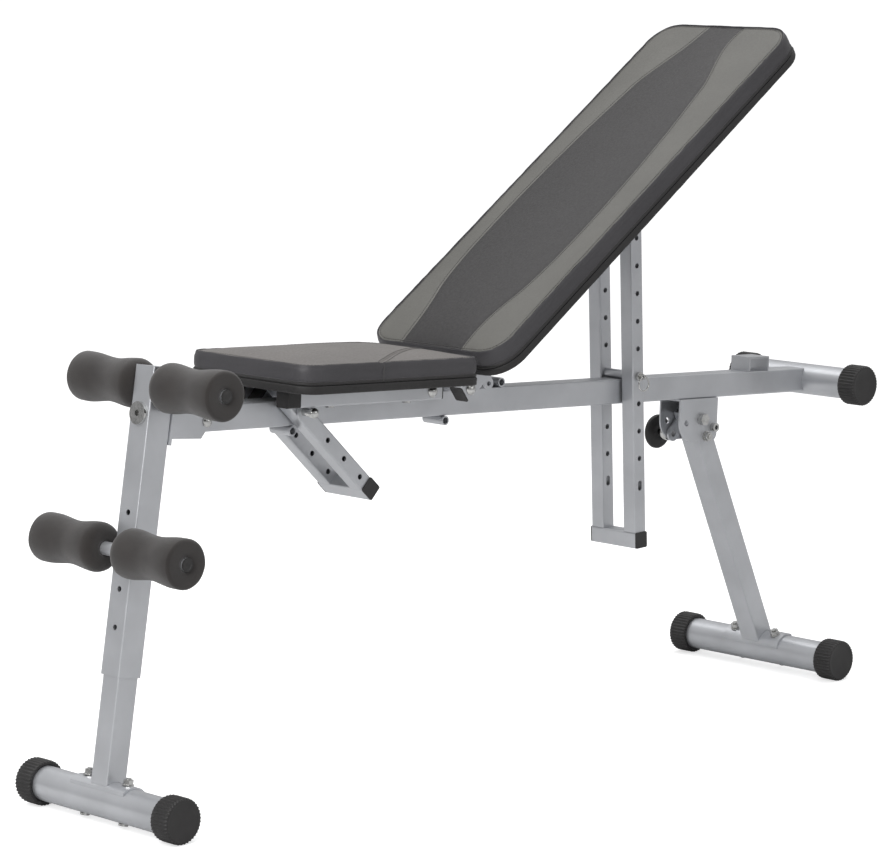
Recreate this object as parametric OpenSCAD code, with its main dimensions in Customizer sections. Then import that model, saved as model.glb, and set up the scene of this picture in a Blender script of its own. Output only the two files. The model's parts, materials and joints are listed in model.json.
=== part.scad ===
// Decline sit up bench: a sloping main beam on two feet, a padded seat and
// backrest on hinged rails, each propped by a drilled ladder, and two pairs of
// foam leg rollers on the front post. Millimetres, +Z up, +X towards the head end.

/* [Main beam] */
// Side of the square beam tube
beam_w = 38; // [34:1:40]
// Slope of the beam, down towards the head end, in degrees
beam_slope = 3.6; // [0:0.1:6]
// Height of the beam's centreline above the front foot's axis line
beam_z = 557.8; // [480:0.1:620]
// Distance from the front foot to the rear cross tube
cross_x = 1476; // [1420:1:1600]

/* [Feet] */
// Diameter of the foot tubes and the rear cross tube
foot_d = 50; // [44:1:54]
// Outer diameter of the end caps
cap_d = 65; // [60:1:70]
// Length of an end cap
cap_l = 33; // [28:1:40]
// Overall width of the front foot
front_foot_w = 330; // [300:2:420]
// Overall width of the rear foot
rear_foot_w = 344; // [300:2:420]
// Overall width of the rear cross tube
cross_w = 266; // [220:2:320]
// Distance from the front foot to the rear foot
rear_foot_x = 1374.6; // [1340:0.2:1400]

/* [Front post] */
// Lean of the front post, in degrees
post_lean = 10; // [6:0.5:12]
// Side of the outer post tube
post_w = 40; // [38:1:44]
// Side of the sliding inner post tube
inner_w = 35; // [34:0.5:35]
// Start of the outer post tube above the foot's axis
post_start = 173; // [160:1:190]
// End of the outer post tube above the foot's axis
post_end = 602; // [590:1:620]
// Pitch of the roller bar holes in the post
post_pitch = 53; // [50:1:56]

/* [Leg rollers] */
// Largest diameter of a foam roller
roller_d = 70; // [60:1:80]
// Diameter of a foam roller at its waist
waist_d = 61; // [54:1:66]
// Length of a foam roller
roller_l = 130; // [110:1:150]
// Diameter of the roller bars
bar_d = 19; // [16:1:22]

/* [Seat] */
// Width of the seat
seat_w = 262; // [230:2:300]
// Length of the seat
seat_l = 341; // [320:1:350]
// Thickness of the seat cushion above its board
seat_t = 36; // [26:1:40]

/* [Backrest] */
// Width of the backrest
back_w = 280; // [240:2:320]
// Length of the backrest
back_l = 804; // [760:2:820]
// Thickness of the backrest cushion above its board
back_t = 38; // [30:1:46]
// Incline of the backrest from level, in degrees
back_incline = 34; // [30:0.5:40]

/* [Ladders] */
// Side of the ladder and rail tubes
rail_w = 25; // [22:1:26]
// Pitch of the ladder holes
ladder_pitch = 43; // [40:0.5:45]
// Swing of the seat ladder away from plumb, in degrees
seat_ladder_tilt = 45.4; // [20:0.2:60]

/* [Hidden] */
$fn = 48;

steel = [0.70, 0.71, 0.72];
zinc = [0.82, 0.82, 0.80];
black = [0.13, 0.13, 0.13];
foam = [0.27, 0.25, 0.24];
vinyl = [0.46, 0.45, 0.43];

// Common sizes
wall = 2;               // tube wall
corner_r = 2.5;         // outer corner of a square tube
plate = 3;              // bracket plate
fit = 0.1;              // diametral running fit
gap = 0.3;              // clearance between neighbours
floor_r = cap_d / 2;    // height of the foot axes
x0 = -cross_x / 2;      // shifts the front foot so that the origin is mid-length

// Beam stations, measured along the beam from above the front foot
sleeve_d = 14;
sleeve_bore = 10;
sleeve_h = beam_w / 2 + sleeve_d / 2;
sleeve_half = 21;
seat_hinge_s = 561;
back_hinge_s = 639;
flat_sleeve_s = 755;
ladder_sleeve_s = 1030;
seat_sleeve_s = 337;
spare_sleeve_s = 640;

// Sideways places: ladder posts run beside the beam, rails outside the posts
post_in = 21.3;
post_mid = post_in + rail_w / 2;
rail_in = 47;
rail_mid = rail_in + rail_w / 2;
rail_out = rail_in + rail_w;

// Fasteners
hinge_d = 10;
bolt_d = 8;
nut_af = 13;
nut_h = 6.5;
washer_d = 17;
washer_h = 1.5;

// Seat and backrest boards
board_t = 12;
board_lift = rail_w / 2;
seat_front = seat_hinge_s - 262;
seat_r = 30;
seat_bevel = 10;
seat_rail_front = 256;
seat_rail_rear = 20;
seat_cap_l = 24;
bumper_u = -150;
bumper_d = 30;
back_foot = 18;
back_r = 45;
back_bevel = 12;
back_rail_end = 740;
back_rail_start = 13;
gusset_u = 34;
gusset_drop = 17.8;
cross_bar_u = 700;

// Ladder pivots, in the frames of the seat and the backrest
pivot_drop = rail_w / 2 + 8.5;
lug_r = 12;
spacer_d = 12;
seat_pivot_u = -229;
back_pivot_u = 450;
hole_d = bolt_d + fit;
ladder_top = 22;

// Rear leg and its locking plunger
leg_w = 36;
leg_s = 1210;
leg_h = -52;
index_r = 36;
index_a = 222;
index_step = 38;
index_d = 10;
bracket_s = 1158;
bracket_l = 89;
bracket_drop = 69;
bracket_in = 19;

// Places in the XZ plane, as [x, z]
function beam_pt(s, h) = [
    x0 + s * cos(beam_slope) + h * sin(beam_slope),
    beam_z - s * sin(beam_slope) + h * cos(beam_slope)
];
function back_pt(u, n) = beam_pt(back_hinge_s, sleeve_h) + [
    u * cos(back_incline) - n * sin(back_incline),
    u * sin(back_incline) + n * cos(back_incline)
];
leg_pt = beam_pt(leg_s, leg_h);
rear_foot_pt = [x0 + rear_foot_x, floor_r];
cross_pt = [x0 + cross_x, beam_z - cross_x * tan(beam_slope)];
stop_screw_pt = beam_pt(leg_s + 12, leg_h - 28);
function index_pt(i) = leg_pt + index_r * [cos(index_a - i * index_step), sin(index_a - i * index_step)];
leg_run = rear_foot_pt - leg_pt;
leg_tilt = atan2(leg_run[0], -leg_run[1]);
leg_l = norm(leg_run);
seat_pivot_pt = beam_pt(seat_hinge_s + seat_pivot_u, sleeve_h - pivot_drop);
back_pivot_pt = back_pt(back_pivot_u, -pivot_drop);
ladder_run = beam_pt(ladder_sleeve_s, sleeve_h) - back_pivot_pt;
back_ladder_tilt = atan2(ladder_run[0], -ladder_run[1]);
pinned_hole = 6;
back_first_hole = norm(ladder_run) - (pinned_hole - 1) * ladder_pitch;
back_holes = 9;
back_ladder_l = back_first_hole + 11 * ladder_pitch;
seat_first_hole = 66.5;
seat_holes = 3;
seat_ladder_l = 180.5;

// ---- frames: each places its children, drawn in local axes ----

module at(p) translate([p[0], 0, p[1]]) children();

// Along the beam: +X down the beam, +Z square to its top
module beam_frame(s = 0, h = 0)
    at([x0, beam_z]) rotate([0, beam_slope, 0]) translate([s, 0, h]) children();

// Up the front post: +Z along the post from the foot's axis
module post_frame(t = 0)
    at([x0, floor_r]) rotate([0, post_lean, 0]) translate([0, 0, t]) children();

module seat_frame() beam_frame(seat_hinge_s, sleeve_h) children();

// Up the backrest: +X towards the head, +Z out of the board
module back_frame() at(back_pt(0, 0)) rotate([0, -back_incline, 0]) children();

// Down a ladder: -Z runs from the pivot to the ladder's foot
module seat_ladder_frame() at(seat_pivot_pt) rotate([0, -seat_ladder_tilt, 0]) children();
module back_ladder_frame() at(back_pivot_pt) rotate([0, -back_ladder_tilt, 0]) children();

module leg_frame() at(leg_pt) rotate([0, -leg_tilt, 0]) children();

module both_sides() {
    children();
    mirror([0, 1, 0]) children();
}

// ---- shared shapes ----

module cyl_y(l, d) rotate([90, 0, 0]) cylinder(h = l, d = d, center = true);

// Outline in the XZ plane, drawn out to y = -half and y = half
module extrude_y(half) rotate([90, 0, 0]) linear_extrude(2 * half, center = true) children();

// Cylinder along Y from y1 to y2
module rod_y(y1, y2, d) translate([0, (y1 + y2) / 2, 0]) cyl_y(abs(y2 - y1), d);

module pipe_y(l, d, bore) {
    difference() {
        cyl_y(l, d);
        cyl_y(l + 2, bore);
    }
}

// Square of side w with round corners
module soft_square(w, r = corner_r) {
    square([w, w - 2 * r], center = true);
    square([w - 2 * r, w], center = true);
    for (x = [-1, 1], y = [-1, 1]) translate([x * (w / 2 - r), y * (w / 2 - r)]) circle(r);
}

// Square tube along Z from z1 to z2, centred on the Z axis
module tube_z(z1, z2, w, t = wall) {
    difference() {
        translate([0, 0, z1]) linear_extrude(z2 - z1) soft_square(w);
        translate([-w / 2 + t, -w / 2 + t, z1 - 1]) cube([w - 2 * t, w - 2 * t, z2 - z1 + 2]);
    }
}

// Square tube along X from x1 to x2, centred on the X axis
module tube_x(x1, x2, w, t = wall) rotate([0, 90, 0]) tube_z(x1, x2, w, t);

// Plug of a square tube: a stem in the bore and a head over the end, along +X
module plug_x(w, head = 2, stem = 12) {
    rotate([0, 90, 0]) linear_extrude(head) soft_square(w);
    translate([-stem, -w / 2 + wall + gap, -w / 2 + wall + gap])
        cube([stem, w - 2 * wall - 2 * gap, w - 2 * wall - 2 * gap]);
}

module rounded_slab(l, w, t, r) {
    linear_extrude(t) {
        translate([r, -w / 2]) square([l - 2 * r, w]);
        translate([0, -w / 2 + r]) square([l, w - 2 * r]);
        for (x = [r, l - r], y = [-w / 2 + r, w / 2 - r]) translate([x, y]) circle(r);
    }
}

// Cutter for an edge along Y through the origin, taking size off each face
module bevel(size, w) rotate([0, 45, 0])
    cube([size * sqrt(2), w + 2, size * sqrt(2)], center = true);

// Nut and washer on the +Y side, its washer starting at y
module nut_y(y, d = bolt_d, af = nut_af) {
    translate([0, y, 0]) rotate([-90, 0, 0]) {
        difference() {
            union() {
                cylinder(h = washer_h, d = washer_d);
                translate([0, 0, washer_h]) cylinder(h = nut_h, d = af / cos(30), $fn = 6);
            }
            translate([0, 0, -1]) cylinder(h = washer_h + nut_h + 2, d = d);
        }
    }
}

// Domed bolt head on the -Y side, its flat face at y
module dome_head_y(y, d = 16, h = 5) {
    translate([0, y, 0]) rotate([90, 0, 0]) {
        cylinder(h = 1.5, d = d);
        translate([0, 0, 1.5]) intersection() {
            cylinder(h = h, d = d);
            translate([0, 0, h - 1.5 - d * 0.6]) sphere(r = d * 0.6);
        }
    }
}

// Cup-shaped end cap on the +Y end of a foot tube; its outer face is at y
module end_cap(y) {
    translate([0, y - cap_l, 0]) rotate([-90, 0, 0]) difference() {
        cylinder(h = cap_l, d = cap_d);
        translate([0, 0, -1]) cylinder(h = cap_l - 2, d = foot_d + gap);
    }
}

// Round tube along Y whose ends sit inside the caps of an assembly of width w
module foot_tube(w) pipe_y(w - 8, foot_d, foot_d - 2 * wall);

// Saddle plate over a foot tube, with bolt holes, drawn around the tube's axis
saddle_half = 58;
saddle_bolt = 42;
module saddle() {
    difference() {
        intersection() {
            cyl_y(2 * saddle_half, foot_d + 2 * plate + gap);
            translate([-20, -saddle_half, 12]) cube([40, 2 * saddle_half, 30]);
        }
        cyl_y(2 * saddle_half + 2, foot_d + gap);
        for (y = [-saddle_bolt, saddle_bolt]) translate([0, y, 0]) cylinder(h = 60, d = hole_d);
    }
}

// Carriage bolts through a foot tube, nuts above the saddle
module saddle_bolts() {
    top = foot_d / 2 + plate + gap / 2;
    for (y = [-saddle_bolt, saddle_bolt]) translate([0, y, 0]) {
        translate([0, 0, -foot_d / 2 - 1]) cylinder(h = top + foot_d / 2 + 11, d = bolt_d);
        translate([0, 0, top]) cylinder(h = washer_h, d = washer_d);
        translate([0, 0, top + washer_h]) cylinder(h = nut_h, d = nut_af / cos(30), $fn = 6);
        translate([0, 0, -foot_d / 2 - 3]) cylinder(h = 3, d = 14);
    }
}

module drilled_foot_tube(w) {
    difference() {
        foot_tube(w);
        for (y = [-saddle_bolt, saddle_bolt])
            translate([0, y, 0]) cylinder(h = foot_d + 2, d = hole_d, center = true);
    }
}

// ---- frame ----

module main_beam() color(steel) {
    difference() {
        beam_frame() tube_x(112, cross_x, beam_w);
        post_frame() translate([-60, -30, 440]) cube([60 + post_w / 2 + 4.2, 60, 180]);
        at(cross_pt) cyl_y(60, foot_d + fit);
        beam_frame(bracket_bolt[0], bracket_bolt[1]) cyl_y(60, hole_d);
    }
}

module sleeve(s, side, half) beam_frame(s, side * sleeve_h) pipe_y(2 * half, sleeve_d, sleeve_bore + fit);

module beam_sleeves() color(steel) {
    for (s = [seat_hinge_s, back_hinge_s]) sleeve(s, 1, rail_in - 0.4);
    for (s = [flat_sleeve_s, ladder_sleeve_s]) sleeve(s, 1, sleeve_half);
    for (s = [seat_sleeve_s, spare_sleeve_s]) sleeve(s, -1, sleeve_half);
}

// Channel round the underside of the beam, with a plate between it and the post
bracket_bolt = [176, -4];
module front_bracket() color(steel) {
    half = beam_w / 2;
    lip = half + plate + 0.5;
    difference() {
        union() {
            difference() {
                beam_frame() extrude_y(half + plate)
                    polygon([[100, -half - 5.5], [166, -half - 8.5], [196, half - 9], [100, half - 3]]);
                beam_frame() extrude_y(half)
                    polygon([[90, -half - 2], [210, -half - 7.5], [210, 60], [90, 60]]);
                post_frame() translate([post_w / 2 - 60, -40, 460]) cube([62, 80, 140]);
            }
            post_frame() translate([post_w / 2, -lip, 496]) cube([4, 2 * lip, 59]);
        }
        post_frame(536) rotate([0, 90, 0]) cylinder(h = 60, d = hinge_d + fit);
        beam_frame(bracket_bolt[0], bracket_bolt[1]) cyl_y(80, hole_d);
    }
}

module frame_bolts() color(zinc) {
    side = beam_w / 2 + plate;
    beam_frame(bracket_bolt[0], bracket_bolt[1]) {
        rod_y(-side - 1, side + 10, bolt_d);
        dome_head_y(-side);
        nut_y(side);
    }
    at(stop_screw_pt) mirror([0, 1, 0]) {
        rod_y(bracket_in + gap, bracket_in + plate + 1, bolt_d);
        nut_y(bracket_in + plate);
        rod_y(bracket_in + plate, bracket_in + plate + 10, bolt_d);
    }
    beam_frame(leg_s + 27, leg_h - 14) translate([0, -bracket_in - plate - 4, 0])
        pipe_y(8, sleeve_d, 7);
}

// Inverted channel that carries the backrest when it lies flat
module rest_bracket() color(steel) {
    l = 49;
    h = 23;
    beam_frame(1322, beam_w / 2) translate([0, -beam_w / 2, 0]) difference() {
        cube([l, beam_w, h]);
        translate([plate, -1, -1]) cube([l - 2 * plate, beam_w + 2, h - plate + 1]);
    }
}

module rear_cross_tube() color(steel) at(cross_pt) foot_tube(cross_w);

module rear_cross_caps() color(black) at(cross_pt) both_sides() end_cap(cross_w / 2);

// ---- front post and leg rollers ----

post_holes = [240, 293, 346, 399];
lower_bar_t = post_holes[2];
upper_bar_t = 575;
lower_bar_off = post_w / 2 + 15;
post_bolt_t = 536;

// Holes in the front wall of a post of side w
module post_hole_cuts(w) for (t = post_holes)
    translate([-w / 2 - 1, 0, t]) rotate([0, 90, 0]) cylinder(h = 8, d = hole_d);

module front_post() color(steel) {
    post_frame() difference() {
        union() {
            tube_z(post_start, post_end, post_w, (post_w - inner_w) / 2 - gap);
            translate([0, 0, post_end - 2]) linear_extrude(2) soft_square(post_w);
        }
        post_hole_cuts(post_w);
        translate([-post_w, 0, post_bolt_t]) rotate([0, 90, 0]) cylinder(h = 2 * post_w, d = hinge_d + fit);
        translate([0, 0, upper_bar_t]) cyl_y(post_w + 2, bar_d + fit);
    }
}

// Flange bolt that joins the post to the beam's bracket, with its nut inside the beam
module post_bolt() color(zinc) {
    post_frame(post_bolt_t) rotate([0, 90, 0]) {
        difference() {
            union() {
                translate([0, 0, -post_w / 2 - 5]) cylinder(h = 5, d = 32);
                translate([0, 0, -post_w / 2 - 1]) cylinder(h = post_w + 14, d = hinge_d);
                translate([0, 0, post_w / 2 + 4]) cylinder(h = 7, d = 17 / cos(30), $fn = 6);
            }
            translate([0, 0, -post_w / 2 - 6]) cylinder(h = 8, d = 8 / cos(30), $fn = 6);
        }
    }
}

bar_half = 152;
module bar() pipe_y(2 * bar_half, bar_d, bar_d - 2 * wall);

module upper_bar() color(steel) post_frame(upper_bar_t) bar();

// Roller bar with a welded stud for the post's front holes
module lower_bar() color(steel) post_frame(lower_bar_t) {
    translate([-lower_bar_off, 0, 0]) bar();
    translate([-lower_bar_off, 0, 0]) rotate([0, 90, 0]) difference() {
        cylinder(h = lower_bar_off - post_w / 2 - 0.05, d = 16);
        translate([0, 0, -1]) cylinder(h = bar_d / 2, d = 15);
    }
    translate([-post_w / 2 - 1, 0, 0]) rotate([0, 90, 0]) cylinder(h = 2.8, d = bolt_d);
}

module bar_plugs() color(black) {
    for (p = [[upper_bar_t, 0], [lower_bar_t, -lower_bar_off]])
        post_frame(p[0]) translate([p[1], 0, 0]) both_sides() {
            mirror([0, 1, 0]) dome_head_y(-bar_half, bar_d, 4);
            rod_y(bar_half - 10, bar_half, bar_d - 2 * wall - gap);
        }
}

// Waisted foam roller from inside to outside, bored for its bar
roller_in = 21.5;
roller_fit = 0.1;
roller_ends = 14;
function roller_r(a) = (roller_d + waist_d) / 4 + (roller_d - waist_d) / 4 * cos(a * 360);
module roller() {
    steps = 16;
    r_end = roller_d / 2;
    translate([0, roller_in, 0]) rotate([-90, 0, 0]) rotate_extrude()
        polygon(concat(
            [[bar_d / 2 + roller_fit, 0]],
            [for (i = [0:4]) let (a = i * 22.5)
                [r_end - roller_ends * (1 - sin(a)), roller_ends * (1 - cos(a))]],
            [for (i = [1:steps - 1])
                [roller_r(i / steps), roller_ends + (roller_l - 2 * roller_ends) * i / steps]],
            [for (i = [0:4]) let (a = 90 - i * 22.5)
                [r_end - roller_ends * (1 - sin(a)), roller_l - roller_ends * (1 - cos(a))]],
            [[bar_d / 2 + roller_fit, roller_l]]
        ));
}
module upper_roller(side) color(foam) post_frame(upper_bar_t) scale_side(side) roller();
module lower_roller(side) color(foam)
    post_frame(lower_bar_t) translate([-lower_bar_off, 0, 0]) scale_side(side) roller();

// side 1 is the far (+Y) side, side -1 the near side
module scale_side(side) {
    if (side > 0) children();
    else mirror([0, 1, 0]) children();
}

// ---- front foot, sliding in the post ----

module inner_post() color(steel) difference() {
    post_frame() difference() {
        tube_z(10, 372, inner_w);
        post_hole_cuts(inner_w);
    }
    at([x0, floor_r]) cyl_y(60, foot_d + 2 * plate + 2 * gap);
}
module front_foot_plate() color(steel) post_frame() saddle();
module front_foot_tube() color(steel) post_frame() drilled_foot_tube(front_foot_w);
module front_foot_caps() color(black) post_frame() both_sides() end_cap(front_foot_w / 2);
module front_foot_bolts() color(zinc) post_frame() saddle_bolts();

// ---- rear leg ----

// Square tube leg with a locking ear ahead of its pivot
ear_t = 4;
ear_a = index_a - 180 + leg_tilt;
module rear_leg() color(steel) {
    difference() {
        union() {
            leg_frame() tube_z(-leg_l + 10, leg_w / 2, leg_w);
            at(leg_pt) {
                translate([0, leg_w / 2 - ear_t / 2, 0]) rotate([90, 0, 0])
                    linear_extrude(ear_t, center = true) ear_outline();
            }
        }
        at(rear_foot_pt) cyl_y(60, foot_d + 2 * plate + 2 * gap);
        at(leg_pt) cyl_y(60, hinge_d + fit);
        at(index_pt(0)) rod_y(10, 30, index_d + fit);
    }
}
module ear_outline() {
    rotate(index_a) {
        translate([0, -12]) square([index_r, 24]);
        translate([index_r, 0]) circle(12);
    }
}

module rear_foot_frame() at(rear_foot_pt) rotate([0, -leg_tilt, 0]) children();
module rear_foot_plate() color(steel) rear_foot_frame() saddle();
module rear_foot_tube() color(steel) rear_foot_frame() drilled_foot_tube(rear_foot_w);
module rear_foot_caps() color(black) rear_foot_frame() both_sides() end_cap(rear_foot_w / 2);
module rear_foot_bolts() color(zinc) rear_foot_frame() saddle_bolts();

// Two cheeks under the beam, joined by a web, with the pivot and index holes
module leg_bracket() color(steel) {
    out = bracket_in + plate;
    top = -beam_w / 2;
    r = 34;
    difference() {
        beam_frame() extrude_y(out) {
            translate([bracket_s, top - bracket_drop + r]) square([bracket_l, bracket_drop - r]);
            translate([bracket_s + r, top - bracket_drop]) square([bracket_l - r - 12, r + 1]);
            translate([bracket_s + bracket_l - 12.01, top - bracket_drop + 12]) square([12.01, 24]);
            translate([bracket_s + bracket_l - 12, top - bracket_drop + 12]) circle(12);
            translate([bracket_s + r, top - bracket_drop + r]) circle(r);
        }
        beam_frame() translate([bracket_s - 1, -bracket_in, top - plate - 100])
            cube([bracket_l + 2, 2 * bracket_in, 100]);
        at(leg_pt) cyl_y(60, hinge_d + fit);
        at(index_pt(0)) rod_y(0, 60, index_d + fit);
        at(index_pt(1)) cyl_y(60, index_d + fit);
        at(stop_screw_pt) rod_y(-60, 0, hole_d);
    }
}

module leg_pivot_bolt() color(zinc) at(leg_pt) {
    out = bracket_in + plate;
    rod_y(-out - 1, out + 11, hinge_d);
    mirror([0, 1, 0]) {
        nut_y(out, hinge_d, 17);
        rod_y(out, out + washer_h + nut_h, hinge_d);
    }
    nut_y(out, hinge_d, 17);
}

// ---- locking plunger of the rear leg, on the far cheek ----

plunger_y = bracket_in + plate;
housing_l = 10;
module plunger_frame()
    at(index_pt(0)) translate([0, plunger_y, 0]) children();

module plunger_housing() color(zinc) plunger_frame() difference() {
    rod_y(0, housing_l, 24);
    rod_y(1, housing_l - 1, 18);
    rod_y(-1, housing_l + 1, index_d + fit);
}

// The pin's tip stops just clear of the leg's ear, as when it is drawn
module plunger_pin() color(zinc) plunger_frame() {
    rod_y(-plate - 0.6, housing_l + 16, index_d);
    rod_y(1.2, 2.7, 17);
}

module plunger_knob() color(black) plunger_frame() difference() {
    union() {
        rod_y(housing_l + 11.5, housing_l + 20, 54);
        rod_y(housing_l + 11.5, housing_l + 24, 44);
    }
    rod_y(housing_l + 11, housing_l + 16, index_d);
}

module plunger_spring() color(zinc) plunger_frame() difference() {
    rod_y(2.9, housing_l - 1.1, 15);
    rod_y(2, housing_l, 12);
}

// ---- seat ----

// Rail on the +Y side, from u1 to u2, with the hinge bore and the ladder's lug under it
module rail(u1, u2, pivot_u) {
    difference() {
        union() {
            translate([0, rail_mid, 0]) tube_x(u1, u2, rail_w);
            translate([pivot_u, rail_in, 0]) lug(lug_r, pivot_drop);
        }
        translate([0, rail_mid, 0]) cyl_y(rail_w + 2, hinge_d + fit);
        translate([pivot_u, rail_mid, -pivot_drop]) cyl_y(rail_w + 2, hole_d);
    }
}

// Round-ended plate hanging from a rail's side wall, centred drop below the rail's axis
module lug(r, drop) translate([0, plate, 0]) rotate([90, 0, 0]) linear_extrude(plate) {
    translate([0, -drop]) circle(r);
    translate([-r, -drop]) square([2 * r, drop - rail_w / 2 + wall]);
}

// Bolt through both rails and the beam's sleeve
module hinge_bolt() {
    rod_y(-rail_out - 1, rail_out + 9, hinge_d);
    dome_head_y(-rail_out, 18, 6);
    nut_y(rail_out, hinge_d, 17);
}

// Short pivot bolt of a ladder post, flush inside the post, with a spacer and a dome nut
module pivot_bolt() {
    nut_start = rail_in + plate + 16;
    rod_y(post_in, nut_start + 2, bolt_d);
    rod_y(rail_in + plate, nut_start, spacer_d);
    mirror([0, 1, 0]) dome_head_y(-nut_start, 15, 10);
}

module rail_plugs(u1, u2, front_head = 2, front_stem = 12) both_sides() {
    translate([u2, rail_mid, 0]) plug_x(rail_w);
    translate([u1, rail_mid, 0]) mirror([1, 0, 0]) plug_x(rail_w, front_head, front_stem);
}

// Screws from the rails into a board
module board_screws(us) both_sides() for (u = us) translate([u, rail_mid, -board_lift]) {
    translate([0, 0, -3]) cylinder(h = 3, d = 13);
    cylinder(h = rail_w + 8, d = 6);
}

module seat_rail(side) color(steel)
    seat_frame() scale_side(side) difference() {
        rail(-seat_rail_front, seat_rail_rear, seat_pivot_u);
        screw_holes(seat_screw_u);
    }
module screw_holes(us) for (u = us)
    translate([u, rail_mid, -rail_w]) cylinder(h = 2 * rail_w, d = 6 + fit);
seat_screw_u = [-190, -40];
back_screw_u = [110, 360, 640];

module seat_rail_plugs() color(black) seat_frame()
    rail_plugs(-seat_rail_front, seat_rail_rear, seat_cap_l);
module seat_board() color(black) seat_frame() difference() {
    translate([-seat_front, 0, board_lift]) rounded_slab(seat_l, seat_w, board_t, seat_r);
    both_sides() translate([0, 0, board_lift]) screw_wells(seat_screw_u);
}
module screw_wells(us) for (u = us) translate([u, rail_mid, -1]) cylinder(h = 9.5, d = 6 + fit);
module seat_cushion() color(vinyl) seat_frame() difference() {
    translate([-seat_front, 0, board_lift + board_t]) rounded_slab(seat_l, seat_w, seat_t, seat_r);
    translate([seat_l - seat_front, 0, board_lift + board_t + seat_t]) bevel(seat_bevel, seat_w);
}
module seat_hinge_bolt() color(zinc) seat_frame() hinge_bolt();
module seat_screws() color(zinc) seat_frame() board_screws(seat_screw_u);

// Rubber pad under the board that rests on the beam when the seat is level with it
module seat_bumper() color(black) beam_frame(seat_hinge_s + bumper_u, beam_w / 2 + gap)
    cylinder(h = sleeve_d / 2 + board_lift - gap, d = bumper_d);

// ---- ladders ----

// Ladder post on the +Y side: holes every pitch from the first, ending at the foot tube
module ladder_post(first, holes, foot) {
    difference() {
        translate([0, post_mid, 0]) tube_z(-foot + rail_w / 2, ladder_top, rail_w);
        translate([0, post_mid, 0]) cyl_y(rail_w + 2, hole_d);
        for (i = [0:holes - 1])
            translate([0, post_mid, -first - i * ladder_pitch]) cyl_y(rail_w + 2, hole_d);
    }
}

module ladder_foot(foot) translate([0, 0, -foot]) rotate([0, 0, 90])
    tube_x(-post_in - rail_w, post_in + rail_w, rail_w);

module ladder_plugs(foot) both_sides() {
    translate([0, post_in + rail_w, -foot]) rotate([0, 0, 90]) plug_x(rail_w);
    translate([0, post_mid, ladder_top]) rotate([0, -90, 0]) plug_x(rail_w, 2, 6);
}

module seat_ladder_post(side) color(steel)
    seat_ladder_frame() scale_side(side) ladder_post(seat_first_hole, seat_holes, seat_ladder_l);
module seat_ladder_foot() color(steel) seat_ladder_frame() ladder_foot(seat_ladder_l);
module seat_ladder_plugs() color(black) seat_ladder_frame() ladder_plugs(seat_ladder_l);
module seat_ladder_bolts() color(zinc) at(seat_pivot_pt) both_sides() pivot_bolt();

// The last hole is a slot, for the steepest setting
slot_l = 16;
module back_ladder_post(side) color(steel)
    back_ladder_frame() scale_side(side) difference() {
        ladder_post(back_first_hole, back_holes, back_ladder_l);
        translate([0, post_mid, -back_first_hole - back_holes * ladder_pitch]) {
            for (z = [-1, 1]) translate([0, 0, z * (slot_l - hole_d) / 2]) cyl_y(rail_w + 2, hole_d);
            cube([hole_d, rail_w + 2, slot_l - hole_d], center = true);
        }
    }
module back_ladder_foot() color(steel) back_ladder_frame() ladder_foot(back_ladder_l);
module back_ladder_plugs() color(black) back_ladder_frame() ladder_plugs(back_ladder_l);
module back_ladder_bolts() color(zinc) at(back_pivot_pt) both_sides() pivot_bolt();

// ---- backrest ----

module back_rail(side) color(steel)
    back_frame() scale_side(side) difference() {
        union() {
            rail(-back_rail_start, back_rail_end, back_pivot_u);
            translate([gusset_u, rail_out - plate, 0]) lug(9, gusset_drop);
        }
        screw_holes(back_screw_u);
        translate([gusset_u, rail_mid, -gusset_drop]) cyl_y(rail_w + 2, hole_d);
    }
module back_rail_plugs() color(black) back_frame()
    rail_plugs(-back_rail_start, back_rail_end, front_stem = back_rail_start - hinge_d / 2 - 1);
module back_cross_bar() color(steel) back_frame() translate([cross_bar_u, 0, 0])
    rotate([0, 0, 90]) tube_x(-rail_in, rail_in, rail_w);
module back_board() color(black) back_frame() difference() {
    translate([back_foot, 0, board_lift]) rounded_slab(back_l, back_w, board_t, back_r);
    both_sides() translate([0, 0, board_lift]) screw_wells(back_screw_u);
}
module back_cushion() color(vinyl) back_frame() difference() {
    translate([back_foot, 0, board_lift + board_t]) rounded_slab(back_l, back_w, back_t, back_r);
    translate([back_foot, 0, board_lift + board_t + back_t]) bevel(back_bevel, back_w);
}
module back_hinge_bolt() color(zinc) back_frame() hinge_bolt();
module back_screws() color(zinc) back_frame() board_screws(back_screw_u);

// ---- pull pin on the near post of the backrest's ladder ----

pin_out = post_in + rail_w;
ring_r = 11;
ring_d = 2.4;
eye_y = pin_out + 11;
module pin_frame() back_ladder_frame()
    translate([0, 0, -back_first_hole - (pinned_hole - 1) * ladder_pitch]) mirror([0, 1, 0]) children();

module pull_pin() color(zinc) pin_frame() {
    rod_y(post_in + 0.1, pin_out + 3, bolt_d);
    rod_y(pin_out + gap, pin_out + 5, sleeve_d);
    difference() {
        union() {
            translate([-1.5, pin_out + 4, -4]) cube([3, eye_y - pin_out - 4, 8]);
            translate([0, eye_y, 0]) rotate([0, 90, 0]) cylinder(h = 3, d = 8, center = true);
        }
        translate([0, eye_y, 0]) rotate([0, 90, 0]) cylinder(h = 5, d = ring_d + 0.8, center = true);
    }
}

module pull_ring() color(zinc) pin_frame()
    translate([0, eye_y, -ring_r]) rotate([90, 0, 0])
        rotate_extrude() translate([ring_r, 0]) circle(d = ring_d);

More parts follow.
